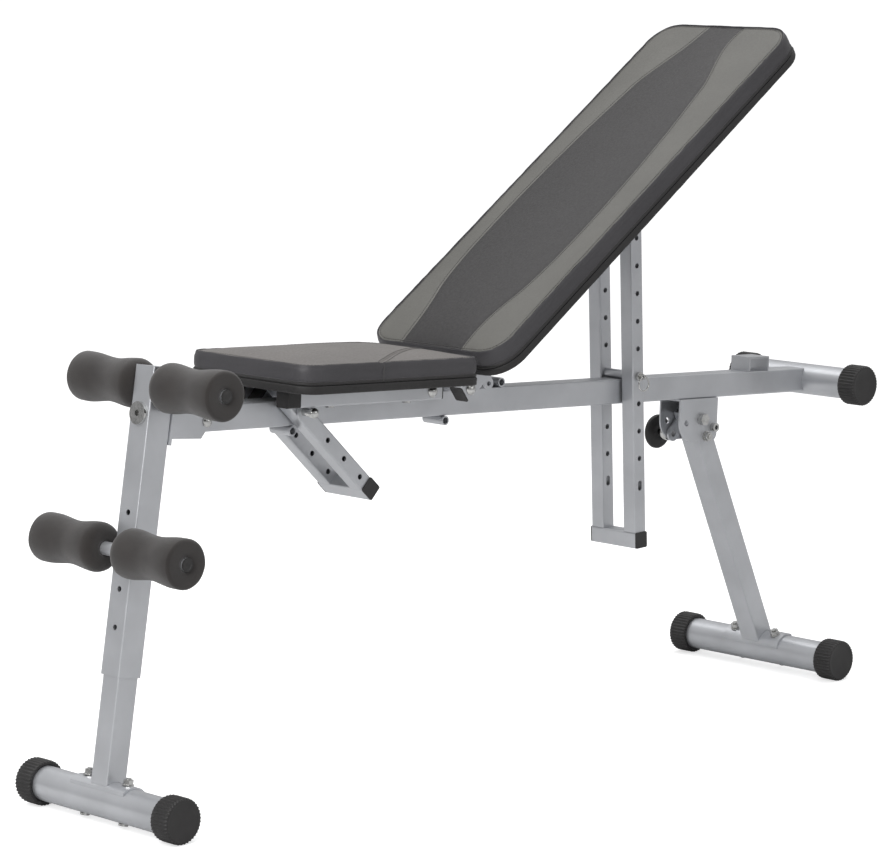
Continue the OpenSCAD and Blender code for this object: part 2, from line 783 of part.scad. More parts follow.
main_beam();
beam_sleeves();
front_bracket();
frame_bolts();
rest_bracket();
rear_cross_tube();
rear_cross_caps();
front_post();
post_bolt();
upper_bar();
lower_bar();
bar_plugs();
leg_bracket();
leg_pivot_bolt();
plunger_housing();
plunger_pin();
plunger_knob();
plunger_spring();
inner_post();
front_foot_plate();
front_foot_tube();
front_foot_caps();
front_foot_bolts();
rear_leg();
rear_foot_plate();
rear_foot_tube();
rear_foot_caps();
rear_foot_bolts();
upper_roller(-1);  // upper_roller_near
upper_roller(1);  // upper_roller_far
lower_roller(-1);  // lower_roller_near
lower_roller(1);  // lower_roller_far
seat_rail(-1);  // seat_rail_near
seat_rail(1);  // seat_rail_far
seat_rail_plugs();
seat_board();
seat_cushion();
seat_hinge_bolt();
seat_screws();
seat_bumper();
seat_ladder_post(-1);  // seat_ladder_near
seat_ladder_post(1);  // seat_ladder_far
seat_ladder_foot();
seat_ladder_plugs();
seat_ladder_bolts();
back_rail(-1);  // back_rail_near
back_rail(1);  // back_rail_far
back_rail_plugs();
back_cross_bar();
back_board();
back_cushion();
back_hinge_bolt();
back_screws();
back_ladder_post(-1);  // back_ladder_near
back_ladder_post(1);  // back_ladder_far
back_ladder_foot();
back_ladder_plugs();
back_ladder_bolts();
pull_pin();
pull_ring();
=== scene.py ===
"""Looks of a decline sit up bench: camera, light, materials, upholstery, foam rollers and plastic parts.

Lengths are in millimetres unless a name ends in _m; MM turns them into Blender's metres. A pad is drawn in
its own axes at its hinge: X along the pad towards the head end, Y across the bench and Z out of the pad.
"""

import json
import math

import bmesh
import bpy
from mathutils import Matrix, Vector, noise
from mathutils.bvhtree import BVHTree


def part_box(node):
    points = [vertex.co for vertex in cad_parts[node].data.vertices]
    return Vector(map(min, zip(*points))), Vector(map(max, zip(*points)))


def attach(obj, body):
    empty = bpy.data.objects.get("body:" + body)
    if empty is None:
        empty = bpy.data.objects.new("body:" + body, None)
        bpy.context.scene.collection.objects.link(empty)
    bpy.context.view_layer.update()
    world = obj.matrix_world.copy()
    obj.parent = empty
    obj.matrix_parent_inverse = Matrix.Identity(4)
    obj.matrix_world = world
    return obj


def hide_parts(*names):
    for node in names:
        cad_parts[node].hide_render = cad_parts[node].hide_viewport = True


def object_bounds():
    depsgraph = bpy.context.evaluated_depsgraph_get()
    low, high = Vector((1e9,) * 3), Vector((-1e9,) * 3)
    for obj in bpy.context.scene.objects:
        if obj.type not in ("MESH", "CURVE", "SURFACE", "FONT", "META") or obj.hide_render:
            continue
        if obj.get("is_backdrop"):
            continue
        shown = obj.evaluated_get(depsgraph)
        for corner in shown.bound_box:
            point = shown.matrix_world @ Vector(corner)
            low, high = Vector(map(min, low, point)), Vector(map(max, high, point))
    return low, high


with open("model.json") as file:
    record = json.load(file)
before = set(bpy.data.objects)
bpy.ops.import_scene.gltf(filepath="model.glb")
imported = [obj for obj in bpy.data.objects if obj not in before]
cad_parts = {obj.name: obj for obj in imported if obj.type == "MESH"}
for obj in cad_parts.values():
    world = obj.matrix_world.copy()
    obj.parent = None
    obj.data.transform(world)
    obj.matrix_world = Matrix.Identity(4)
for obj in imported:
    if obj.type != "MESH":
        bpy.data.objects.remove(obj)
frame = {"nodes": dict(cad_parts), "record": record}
cad_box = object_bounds()
MM = 0.001
joints = {j["name"]: j for j in frame["record"]["behaviour"]["joints"]}
slots = {s["node"]: s["material_slot"] for s in frame["record"]["subparts"]}

# ---- driving sizes, in step with the CAD source ----

BEAM_SLOPE = 3.6        # degrees, down towards the head end
BACK_INCLINE = 34.0     # degrees above level
BOARD_LIFT = 12.5       # underside of a board above its hinge axis
BOARD_T = 12.0
BAR_R = 9.5
ROLLER_R = 35.0
WAIST_R = 30.5
ROLLER_IN = 21.5
ROLLER_L = 130.0
CAP_R = 32.5
CAP_L = 33.0
FOOT_R = 25.0


# ---- materials ----

class Shader:
    """A node material under construction, with its Principled shader and object coordinates at hand."""

    def __init__(self, name, **constants):
        self.material = bpy.data.materials.new(name)
        self.material.use_nodes = True
        self.tree = self.material.node_tree
        self.surface = self.tree.nodes["Principled BSDF"]
        self.coords = self.tree.nodes.new("ShaderNodeTexCoord").outputs["Object"]
        for socket, value in constants.items():
            self.surface.inputs[socket.replace("_", " ")].default_value = value

    def node(self, kind, inputs=None, **settings):
        made = self.tree.nodes.new(kind)
        for key, value in settings.items():
            setattr(made, key, value)
        for key, value in (inputs or {}).items():
            if isinstance(value, bpy.types.NodeSocket):
                self.tree.links.new(value, made.inputs[key])
            else:
                made.inputs[key].default_value = value
        return made

    def noise(self, scale, detail=3.0, rough=0.5, stretch=(1, 1, 1)):
        at = self.node("ShaderNodeMapping", {"Vector": self.coords, "Scale": stretch}).outputs[0]
        return self.node(
            "ShaderNodeTexNoise", {"Vector": at, "Scale": scale, "Detail": detail, "Roughness": rough}
        ).outputs["Fac"]

    def cells(self, scale):
        return self.node("ShaderNodeTexVoronoi", {"Vector": self.coords, "Scale": scale}).outputs["Distance"]

    def span(self, fac, low, high, start=0.3, end=0.7):
        """fac from start to end, turned into a number from low to high."""
        return self.node(
            "ShaderNodeMapRange",
            {"Value": fac, "From Min": start, "From Max": end, "To Min": low, "To Max": high},
        ).outputs[0]

    def blend(self, fac, first, second):
        ramp = self.node("ShaderNodeValToRGB", {"Fac": fac})
        ramp.color_ramp.elements[0].color = (*first, 1)
        ramp.color_ramp.elements[0].position = 0.3
        ramp.color_ramp.elements[1].color = (*second, 1)
        ramp.color_ramp.elements[1].position = 0.7
        return ramp.outputs["Color"]

    def bump(self, height, distance, strength=1.0, below=None):
        inputs = {"Height": height, "Distance": distance * MM, "Strength": strength}
        if below is not None:
            inputs["Normal"] = below
        return self.node("ShaderNodeBump", inputs).outputs["Normal"]

    def use(self, **sockets):
        for socket, value in sockets.items():
            self.tree.links.new(value, self.surface.inputs[socket.replace("_", " ")])
        return self.material


def shade(colour, factor):
    return tuple(min(1.0, c * factor) for c in colour)


def silver_paint():
    """Satin silver powder coat: fine flake, faint orange peel and slow mottling."""
    s = Shader("silver_paint", Metallic=0.72, Specular_IOR_Level=0.5)
    base = (0.50, 0.51, 0.53)
    flake = s.noise(5200, 1.0)
    peel = s.noise(420, 2.0)
    mottle = s.noise(14, 4.0)
    return s.use(
        Base_Color=s.blend(mottle, shade(base, 0.93), shade(base, 1.07)),
        Roughness=s.span(flake, 0.30, 0.42),
        Normal=s.bump(peel, 0.05, 0.5, s.bump(flake, 0.02, 0.35)),
    )


def zinc():
    """Bright zinc plate with a cloudy polish."""
    s = Shader("zinc", Metallic=1.0)
    cloud = s.noise(160, 3.0)
    return s.use(
        Base_Color=s.blend(cloud, (0.42, 0.42, 0.41), (0.62, 0.62, 0.61)),
        Roughness=s.span(s.noise(900, 2.0), 0.08, 0.22),
        Normal=s.bump(cloud, 0.03, 0.4),
    )


def moulded(name, colour, rough=(0.42, 0.58), grain=0.06):
    """Moulded black plastic or rubber with a spark-eroded grain."""
    s = Shader(name, Specular_IOR_Level=0.45)
    fine = s.noise(2600, 2.0)
    return s.use(
        Base_Color=s.blend(s.noise(30, 3.0), shade(colour, 0.8), shade(colour, 1.25)),
        Roughness=s.span(fine, rough[0], rough[1]),
        Normal=s.bump(fine, grain, 0.6),
    )


def foam_skin():
    """Closed-cell foam: dull, with tiny pores and faint blotches."""
    s = Shader("foam_skin", Specular_IOR_Level=0.25, Sheen_Weight=0.25, Sheen_Roughness=0.6)
    pores = s.cells(1500)
    blotch = s.noise(24, 4.0)
    return s.use(
        Base_Color=s.blend(blotch, (0.015, 0.012, 0.011), (0.023, 0.019, 0.017)),
        Roughness=s.span(s.noise(700), 0.74, 0.92),
        Normal=s.bump(pores, 0.18, 0.7, s.bump(blotch, 0.3, 0.3)),
    )


def vinyl(name, colour, rough=(0.40, 0.54), grain=0.14):
    """Upholstery vinyl: pebbled leather grain, soft creases and a low sheen."""
    s = Shader(name, Specular_IOR_Level=0.32, Sheen_Weight=0.05, Sheen_Roughness=0.5)
    pebble = s.cells(950)
    crease = s.noise(38, 5.0, 0.6)
    return s.use(
        Base_Color=s.blend(s.noise(9, 5.0), shade(colour, 0.90), shade(colour, 1.10)),
        Roughness=s.span(s.noise(300), rough[0], rough[1]),
        Normal=s.bump(pebble, grain, 0.55, s.bump(crease, 0.5, 0.35)),
    )


def woven(name, colour):
    """Black dust cloth and staple strip under a board."""
    s = Shader(name, Specular_IOR_Level=0.2)
    warp = s.noise(900, 1.0, stretch=(1, 6, 1))
    weft = s.noise(900, 1.0, stretch=(6, 1, 1))
    return s.use(
        Base_Color=s.blend(warp, shade(colour, 0.7), shade(colour, 1.4)),
        Roughness=s.span(weft, 0.7, 0.95),
        Normal=s.bump(warp, 0.15, 0.6, s.bump(weft, 0.15, 0.6)),
    )


paint = silver_paint()
plate = zinc()
black = moulded("black_plastic", (0.018, 0.017, 0.017))
rubber = moulded("black_rubber", (0.014, 0.014, 0.014), (0.6, 0.8), 0.1)
foam = foam_skin()
charcoal = vinyl("charcoal_vinyl", (0.012, 0.0105, 0.011))
olive = vinyl("grey_vinyl", (0.088, 0.086, 0.077))
taupe = vinyl("taupe_vinyl", (0.125, 0.115, 0.108))
slate = vinyl("slate_vinyl", (0.052, 0.050, 0.054))
trim = vinyl("black_vinyl", (0.020, 0.019, 0.019), (0.5, 0.65), 0.2)
dust_cloth = woven("dust_cloth", (0.016, 0.016, 0.016))
thread = moulded("thread", (0.060, 0.058, 0.056), (0.5, 0.7), 0.1)

SLOT_MATERIALS = {
    "frame_paint": paint, "zinc": plate, "black_plastic": black, "foam": foam,
    "seat_vinyl": taupe, "back_vinyl": olive, "board": trim, "rubber_pad": rubber,
}


def paint_cad_nodes():
    for name, obj in frame["nodes"].items():
        material = SLOT_MATERIALS[slots[name]]
        if not obj.material_slots:
            obj.data.materials.append(material)
        for held in obj.material_slots:
            held.material = material


# ---- mesh helpers ----

def add_object(name, points, faces, materials, indices=None):
    """Mesh object from points in metres; indices gives each face's material."""
    mesh = bpy.data.meshes.new(name)
    mesh.from_pydata([tuple(p) for p in points], [], faces)
    for material in materials:
        mesh.materials.append(material)
    if indices:
        mesh.polygons.foreach_set("material_index", indices)
    mesh.polygons.foreach_set("use_smooth", [True] * len(mesh.polygons))
    tidy = bmesh.new()
    tidy.from_mesh(mesh)
    bmesh.ops.remove_doubles(tidy, verts=tidy.verts, dist=1e-6)
    bmesh.ops.recalc_face_normals(tidy, faces=tidy.faces)
    tidy.to_mesh(mesh)
    tidy.free()
    mesh.update()
    made = bpy.data.objects.new(name, mesh)
    bpy.context.scene.collection.objects.link(made)
    return made


def place(piece, body, slot, *nodes):
    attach(piece, body)
    if nodes:
        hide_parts(*nodes)
    return piece


def along_y(centre_m, side=1):
    """Axes of a turned part at centre: its Z runs along +Y, or along -Y when side is -1."""
    turn = Matrix.Rotation(math.radians(-90 * side), 4, "X")
    return Matrix.Translation(centre_m) @ turn


def turned(
    name, axes, profile, materials, segments=96, closed=False, ribs=0, rib_depth=0.0, ribbed=(), wobble=0.0
):
    """Part turned about its Z from (radius, height) points. The profile rows in ribbed get that many ribs."""
    points, faces = [], []
    for row, (radius, height) in enumerate(profile):
        for i in range(segments):
            angle = 2 * math.pi * i / segments
            r = radius
            if ribs and row in ribbed:
                r -= rib_depth * (0.5 - 0.5 * math.cos(ribs * angle)) ** 0.7
            if wobble and radius > BAR_R + 2:
                spot = Vector((math.cos(angle) * 2, math.sin(angle) * 2, height * 0.05))
                r += wobble * noise.noise(spot + Vector(axes.translation) * 10)
            points.append(axes @ Vector((r * math.cos(angle), r * math.sin(angle), height)))
    rows = len(profile) if closed else len(profile) - 1
    for row in range(rows):
        after = (row + 1) % len(profile)
        for i in range(segments):
            j = (i + 1) % segments
            first, second = row * segments, after * segments
            faces.append((first + i, first + j, second + j, second + i))
    return add_object(name, points, faces, materials)


def in_mm(axes):
    """The same axes, for points in millimetres."""
    return axes @ Matrix.Scale(MM, 4)


# ---- upholstered pads ----

SEAM_INSET = 6.0        # the edge seam runs this far inside the outline
GROOVE_HALF = 2.5       # half the width of a seam's valley
GROOVE_DEPTH = 1.1
GRID_STEP = 6.0
BAND = 5.5              # the black base band laps this far up a pad's side
PUCKER_STEP = 12.0      # spacing of the gathers along the edge seam
SIM_FRAMES = 20
BEND_IN = 160.0         # the lengthwise lines turn from end to middle spacing over this length
STRAIGHT_SEAM = 0.6     # share of the half-width where a pad without a stripe keeps that grid line
UNDERSIDE = 0.4         # the pad's base above its board
CORNER_CELLS = 7        # grid cells round a corner
IN_CELLS = 11           # from the middle line to the panel seam
MID_CELLS = 7           # from the panel seam to the corner
STAPLE_HALF = 5.0       # half a staple's length
STAPLE_R = 0.45
PAD_PANEL, PAD_CENTRE, PAD_SIDE, PAD_BASE = range(4)    # order of a pad's four materials


def smooth_step(t):
    t = max(0.0, min(1.0, t))
    return t * t * (3 - 2 * t)


def steps(low, high, count):
    return [low + (high - low) * i / count for i in range(count + 1)]


def piecewise(x, knots):
    """Straight-line interpolation through (x, value) knots."""
    for (x0, y0), (x1, y1) in zip(knots, knots[1:]):
        if x <= x1:
            return y0 + (y1 - y0) * max(0.0, x - x0) / (x1 - x0)
    return knots[-1][1]


class Pad:
    """A cushion of rounded outline, sewn from panels, on a grid whose lines follow the seams."""

    def __init__(self, name, axes, u0, u1, half, radii, height, crown, stripe=None):
        self.name, self.axes = name, axes
        self.u0, self.u1 = u0 + SEAM_INSET, u1 - SEAM_INSET
        self.half = half - SEAM_INSET
        self.radii = [r - SEAM_INSET for r in radii]
        self.base = BOARD_LIFT + BOARD_T
        self.height, self.crown = height, crown
        self.stripe = stripe
        self.points, self.faces, self.indices = [], [], []

    def across(self, end, t):
        """Distances from the middle line of each lengthwise grid line, at t along the pad from that end."""
        radius, inner = self.radii[end], self.half - self.radii[end]
        where = self.u0 + (self.u1 - self.u0) * t
        seam = self.stripe(where) if self.stripe else self.half * STRAIGHT_SEAM
        seam_end = self.stripe(self.u1 if end else self.u0) if self.stripe else self.half * STRAIGHT_SEAM
        turns = [math.radians(90 * i / CORNER_CELLS) for i in range(1, CORNER_CELLS + 1)]
        arc = [inner + radius * math.sin(turn) for turn in turns]

        def lines(s, outer):
            inside = steps(0, s - GROOVE_HALF, IN_CELLS)
            return inside + [s, s + GROOVE_HALF] + outer

        ends = lines(seam_end, steps(seam_end + GROOVE_HALF, inner, MID_CELLS)[1:] + arc)
        even = steps(seam + GROOVE_HALF, self.half, MID_CELLS + CORNER_CELLS)[1:]
        middle = lines(seam, even)
        near_end = (1 - t if end else t) * (self.u1 - self.u0)
        w = smooth_step(near_end / BEND_IN)
        return [a + (b - a) * w for a, b in zip(ends, middle)]

    def reach(self, end, k):
        """Where lengthwise line k starts or ends."""
        radius, inner = self.radii[end], self.half - self.radii[end]
        v = self.across(end, float(end))[k]
        cut = radius - math.sqrt(max(0.0, radius ** 2 - max(0.0, v - inner) ** 2))
        return self.u1 - cut if end else self.u0 + cut

    def top(self, u, v):
        """Height of the top panels above the board."""
        along = abs(2 * (u - self.u0) / (self.u1 - self.u0) - 1)
        wide = min(1.0, abs(v) / self.half)
        return self.height + self.crown * (1 - wide ** 4) * (1 - along ** 8)

    def build(self):
        length = self.u1 - self.u0
        last = len(self.across(0, 0.0)) - 1
        self.grid = []
        for k in range(-last, last + 1):
            line = []
            for u in steps(self.reach(0, abs(k)), self.reach(1, abs(k)), round(length / GRID_STEP)):
                t = (u - self.u0) / length
                v = self.across(int(t > 0.5), t)[abs(k)]
                line.append((u, math.copysign(v, k) if k else 0.0))
            self.grid.append(line)
        rows, cols = len(self.grid), len(self.grid[0])
        self.points = [[u, v, self.top(u, v)] for line in self.grid for u, v in line]
        self.top_count = len(self.points)
        seam = IN_CELLS + 1
        self.seam_rows = [last - seam, last + seam] if self.stripe else []
        for r in range(rows - 1):
            inside = self.stripe and (last - seam) <= r < (last + seam)
            for c in range(cols - 1):
                a = r * cols + c
                self.faces.append((a, a + 1, a + cols + 1, a + cols))
                self.indices.append(PAD_CENTRE if inside else PAD_PANEL)
        self.cols = cols
        self.loop = (
            list(range(cols)) + [r * cols + cols - 1 for r in range(1, rows)]
            + [(rows - 1) * cols + c for c in range(cols - 2, -1, -1)]
            + [r * cols for r in range(rows - 2, 0, -1)]
        )
        self.sides(self.loop)
        return self

    def outward(self, loop):
        """Unit outward direction in the pad's plane at each boundary point."""
        flat = [Vector(self.points[i][:2]) for i in loop]
        found = []
        for i in range(len(flat)):
            tangent = (flat[(i + 1) % len(flat)] - flat[i - 1]).normalized()
            found.append(Vector((tangent.y, -tangent.x)))
        centre = sum(flat, Vector((0, 0))) / len(flat)
        if (flat[0] - centre).dot(found[0]) < 0:
            found = [-n for n in found]
        return found

    def sides(self, loop):
        """Welt, boxing and underside below the edge seam, ring by ring."""
        h = self.height
        rings = [
            (0.8, h - 2.2), (1.8, h + 1.0), (2.8, h + 0.9), (3.5, h - 1.0), (3.7, h - 2.6), (4.7, h - 4.4),
            (5.3, h - 8), (5.5, (h + BAND) / 2), (5.4, BAND + 2.8), (4.0, BAND + 1.1), (4.0, BAND),
            (5.8, BAND - 1.2), (6.3, 2.4), (5.6, UNDERSIDE),
        ]
        directions = self.outward(loop)
        before = loop
        self.rings = []
        for offset, z in rings:
            ring = []
            for i, d in zip(loop, directions):
                u, v, _ = self.points[i]
                ring.append(len(self.points))
                self.points.append([u + d.x * offset, v + d.y * offset, z])
            self.stitch_ring(before, ring, PAD_BASE if z < BAND else PAD_SIDE)
            self.rings.append(ring)
            before = ring
        mirror = {}
        for i in range(self.top_count):
            u, v, _ = self.points[i]
            mirror[i] = len(self.points)
            self.points.append([u, v, UNDERSIDE])
        for i in range(len(self.indices)):
            face = self.faces[i]
            if max(face) < self.top_count:
                self.faces.append(tuple(mirror[j] for j in reversed(face)))
                self.indices.append(PAD_BASE)
        self.under = list(mirror.values())
        self.stitch_ring(before, [mirror[i] for i in loop], PAD_BASE)

    def stitch_ring(self, first, second, index):
        n = len(first)
        for i in range(n):
            j = (i + 1) % n
            self.faces.append((first[i], first[j], second[j], second[i]))
            self.indices.append(index)

    def seam_points(self):
        """Top points on a panel seam."""
        return {r * self.cols + c for r in self.seam_rows for c in range(self.cols)}

    def seam_paths(self, offset=0.0):
        """The panel seams as (u, v) lines, moved outwards by offset."""
        return [[(u, v + math.copysign(offset, v)) for u, v in self.grid[r]] for r in self.seam_rows]

    def rim(self, inset=3.2):
        """Closed (u, v) line just inside the edge seam."""
        directions = self.outward(self.loop)
        path = [tuple(Vector(self.points[i][:2]) - d * inset) for i, d in zip(self.loop, directions)]
        return path + path[:1]

    def to_world(self, p):
        return in_mm(self.axes) @ Vector((p[0], p[1], p[2] + self.base))

    def make(self, materials, limit, levels=1):
        """Puffs the sewn pad up with cloth simulation, then presses in its seams and gathers its edge."""
        points = [self.to_world(p) for p in self.points]
        made = add_pad_mesh(self.name, points, self.faces, materials, self.indices)
        normal = (self.axes.to_3x3() @ Vector((0, 0, 1))).normalized()
        held = {i: 1.0 for i in self.under + self.rings[-1] + self.rings[-2]}
        held.update({i: 0.7 for ring in self.rings[:5] for i in ring})
        held.update({i: 0.75 for i in self.loop})
        held.update({i: 0.85 for i in self.seam_points()})
        inflate(made, held, limit * MM)
        press(made, self, normal)
        modifier = made.modifiers.new("smooth", "SUBSURF")
        modifier.levels = modifier.render_levels = levels
        finished = made.evaluated_get(bpy.context.evaluated_depsgraph_get())
        made.data = bpy.data.meshes.new_from_object(finished)
        made.modifiers.clear()
        return made

    def groove(self, made, paths, depth, half):
        """Presses a seam into the finished top along (u, v) paths."""
        back = in_mm(self.axes).inverted()
        normal = (self.axes.to_3x3() @ Vector((0, 0, 1))).normalized()
        for vertex in made.data.vertices:
            u, v, n = back @ vertex.co
            if n < self.base + self.height * 0.5:
                continue
            nearest = min(distance_to_path(Vector((u, v)), path) for path in paths)
            if nearest < half:
                vertex.co -= normal * depth * MM * (1 - (nearest / half) ** 2) ** 2
        made.data.update()


def distance_to_path(spot, path):
    best = 1e9
    for a, b in zip(path, path[1:]):
        run = b - a
        t = max(0.0, min(1.0, (spot - a).dot(run) / run.length_squared))
        best = min(best, (spot - a - run * t).length)
    return best


def rounded_path(corners, rounds=3):
    """Smooth line through the neighbourhood of the corners, by cutting them off again and again."""
    path = [Vector(c) for c in corners]
    for _ in range(rounds):
        cut = [path[0]]
        for a, b in zip(path, path[1:]):
            cut += [a.lerp(b, 0.25), a.lerp(b, 0.75)]
        path = cut + [path[-1]]
    return path


def beside(path, offset):
    """The path moved sideways by offset."""
    moved = []
    for i, here in enumerate(path):
        way = (path[min(i + 1, len(path) - 1)] - path[max(i - 1, 0)]).normalized()
        moved.append(here + Vector((-way.y, way.x)) * offset)
    return moved


def add_pad_mesh(name, points, faces, materials, indices):
    """Mesh object that keeps the order of its points, which the seams are listed by."""
    mesh = bpy.data.meshes.new(name)
    mesh.from_pydata([tuple(p) for p in points], [], faces)
    for material in materials:
        mesh.materials.append(material)
    mesh.polygons.foreach_set("material_index", indices)
    mesh.polygons.foreach_set("use_smooth", [True] * len(mesh.polygons))
    mesh.update()
    mesh.validate()
    made = bpy.data.objects.new(name, mesh)
    bpy.context.scene.collection.objects.link(made)
    return made


def inflate(obj, held, limit_m):
    """Cloth with pressure and no gravity; points keep within limit_m of their start, and held ones near it."""
    start = [v.co.copy() for v in obj.data.vertices]
    group = obj.vertex_groups.new(name="held")
    for index, weight in held.items():
        group.add([index], weight, "REPLACE")
    cloth = obj.modifiers.new("cloth", "CLOTH")
    s = cloth.settings
    s.quality = 5
    s.mass = 0.25
    s.tension_stiffness = s.compression_stiffness = 12
    s.shear_stiffness = 6
    s.bending_stiffness = 2
    s.use_pressure = True
    s.uniform_pressure_force = 4
    s.vertex_group_mass = "held"
    s.pin_stiffness = 1.5
    s.effector_weights.gravity = 0
    cloth.point_cache.frame_start, cloth.point_cache.frame_end = 1, SIM_FRAMES
    for f in range(1, SIM_FRAMES + 1):
        bpy.context.scene.frame_set(f)
    puffed = obj.evaluated_get(bpy.context.evaluated_depsgraph_get()).to_mesh()
    ends = [v.co.copy() for v in puffed.vertices]
    obj.modifiers.remove(cloth)
    bpy.context.scene.frame_set(1)
    for vertex, first, last in zip(obj.data.vertices, start, ends):
        moved = last - first
        if moved.length > limit_m:
            moved *= limit_m / moved.length
        vertex.co = first + moved
    obj.data.update()


def press(obj, pad, normal):
    """Presses the panel seams in and gathers the vinyl along the edge seam."""
    vertices = obj.data.vertices
    for i in pad.seam_points():
        vertices[i].co -= normal * GROOVE_DEPTH * MM
    gathers = (
        (0.5, pad.loop), (0.7, pad.rings[0]), (-0.5, pad.rings[1]),
        (-0.4, pad.rings[2]), (0.8, pad.rings[4]), (0.6, pad.rings[5]),
    )
    for depth, ring in gathers:
        travelled = 0.0
        for here, after in zip(ring, ring[1:] + ring[:1]):
            spot = Vector((travelled / PUCKER_STEP, depth * 3, pad.u0 * 0.01))
            vertices[here].co -= normal * depth * MM * (0.5 + noise.noise(spot) * 2.0)
            travelled += (Vector(pad.points[here][:2]) - Vector(pad.points[after][:2])).length
    obj.data.update()


def stitches(name, pad, obj, paths, pitch=5.0, length=3.2, radius=0.42):
    """Runs of thread along the paths, each a list of (u, v), laid on the pad's finished surface."""
    tree = BVHTree.FromObject(obj, bpy.context.evaluated_depsgraph_get())
    axes = in_mm(pad.axes)
    down = -(pad.axes.to_3x3() @ Vector((0, 0, 1))).normalized()
    points, faces = [], []
    for path in paths:
        for spot, heading in evenly(path, pitch):
            ends = []
            for way in (-0.5, 0.5):
                flat = spot + heading * length * way
                hit = tree.ray_cast(axes @ Vector((flat.x, flat.y, pad.base + 120)), down)[0]
                if hit is not None:
                    ends.append(hit - down * radius * MM * 0.45)
            if len(ends) == 2:
                add_capsule(points, faces, ends[0], ends[1], radius * MM)
    return add_object(name, points, faces, [thread])


def evenly(path, pitch):
    """Points a pitch apart along a path of 2D points, with the direction there."""
    due = pitch / 2
    for a, b in zip(path, path[1:]):
        a, b = Vector(a), Vector(b)
        run = (b - a).length
        if run < 1e-6:
            continue
        while due <= run:
            yield a + (b - a) * (due / run), (b - a) / run
            due += pitch
        due -= run


def add_capsule(points, faces, a, b, radius, sides=6):
    """A short round-ended thread from a to b."""
    way = (b - a).normalized()
    side = way.orthogonal().normalized()
    other = way.cross(side)
    first = len(points)
    rows = [(a, -radius, 0.35), (a, 0, 1.0), (b, 0, 1.0), (b, radius, 0.35)]
    for centre, shift, share in rows:
        for i in range(sides):
            angle = 2 * math.pi * i / sides
            spoke = side * math.cos(angle) + other * math.sin(angle)
            points.append(centre + way * shift + spoke * radius * share)
    for row in range(len(rows) - 1):
        for i in range(sides):
            j = (i + 1) % sides
            faces.append((first + row * sides + i, first + row * sides + j,
                          first + (row + 1) * sides + j, first + (row + 1) * sides + i))
    faces.append(tuple(first + i for i in reversed(range(sides))))
    faces.append(tuple(first + (len(rows) - 1) * sides + i for i in range(sides)))


def board(name, pad, materials):
    """Upholstered board under a pad: black vinyl drawn round the edge, dust cloth and staples below."""
    outline = [Vector(pad.points[i][:2]) for i in pad.loop]
    directions = pad.outward(pad.loop)
    rings = [
        (1.0, BOARD_T + 0.2), (5.4, BOARD_T + 0.1), (6.4, BOARD_T - 0.6), (7.0, BOARD_T - 2.6),
        (6.8, BOARD_T * 0.5), (7.0, 3.4), (6.4, 1.2), (4.8, 0.3), (-18.0, 0.3), (-19.0, 0.9),
    ]
    points, faces, indices = [], [], []
    axes = in_mm(pad.axes)
    n = len(outline)
    for row, (offset, z) in enumerate(rings):
        for i, (here, d) in enumerate(zip(outline, directions)):
            ripple = 0.5 * noise.noise(Vector((i * 0.35, row * 1.7, 0))) if 1 < row < 8 else 0.0
            flat = here + d * (offset + ripple)
            points.append(axes @ Vector((flat.x, flat.y, BOARD_LIFT + z)))
    for row in range(len(rings) - 1):
        for i in range(n):
            j = (i + 1) % n
            faces.append((row * n + i, row * n + j, (row + 1) * n + j, (row + 1) * n + i))
            indices.append(0)
    faces.append(tuple(range(n)))
    faces.append(tuple((len(rings) - 1) * n + i for i in reversed(range(n))))
    indices += [0, 1]
    return add_object(name, points, faces, materials, indices)


def staples(name, pad, pitch=24.0, inset=9.0):
    """Staples through the folded vinyl round the underside of a board."""
    outline = [Vector(pad.points[i][:2]) for i in pad.loop]
    directions = pad.outward(pad.loop)
    path = [tuple(p - d * inset) for p, d in zip(outline, directions)]
    axes = in_mm(pad.axes)
    points, faces = [], []
    for spot, heading in evenly(path + path[:1], pitch):
        a, b = (
            axes @ Vector((*(spot + heading * way), BOARD_LIFT)) for way in (-STAPLE_HALF, STAPLE_HALF)
        )
        add_capsule(points, faces, a, b, STAPLE_R * MM)
    return add_object(name, points, faces, [plate])


def pad_axes(joint, pitch):
    """A pad's own axes at its hinge; a positive pitch points it downhill."""
    return Matrix.Translation(joints[joint]["pos_m"]) @ Matrix.Rotation(math.radians(pitch), 4, "Y")


# panel seam of the seat's near rear corner, from the rear edge to the side
SEAT_SEAM = [(46, 20), (-28, 50), (-83, 79), (-124, 106), (-152, 122), (-160, 131)]


def seat():
    """Seat pad: a middle panel, and a panel sewn in at each rear corner."""
    pad = Pad("seat_pad", pad_axes("seat_hinge", BEAM_SLOPE), -299, 42, 131, (30, 20), 28, 7.5).build()
    made = pad.make([taupe, taupe, slate, trim], 3.0, levels=2)
    near = rounded_path(SEAT_SEAM)
    seams = [near, [Vector((p.x, -p.y)) for p in near]]
    pad.groove(made, seams, 1.8, 3.6)
    place(made, "seat", "seat_vinyl", "seat_cushion")
    place(board("seat_base", pad, [trim, dust_cloth]), "seat", "board", "seat_board")
    place(staples("seat_staples", pad), "seat", "zinc")
    sewn = [pad.rim()] + [beside(path, side) for path in seams for side in (-4.4, 4.4)]
    place(stitches("seat_stitches", pad, made, sewn), "seat", "seat_vinyl")


# half-width of the dark centre panel up the backrest
STRIPE = [
    (18, 61), (90, 72), (145, 81.5), (230, 89.5), (300, 91.5), (370, 91), (450, 88), (540, 82), (654, 69.5),
    (728, 56), (822, 33),
]


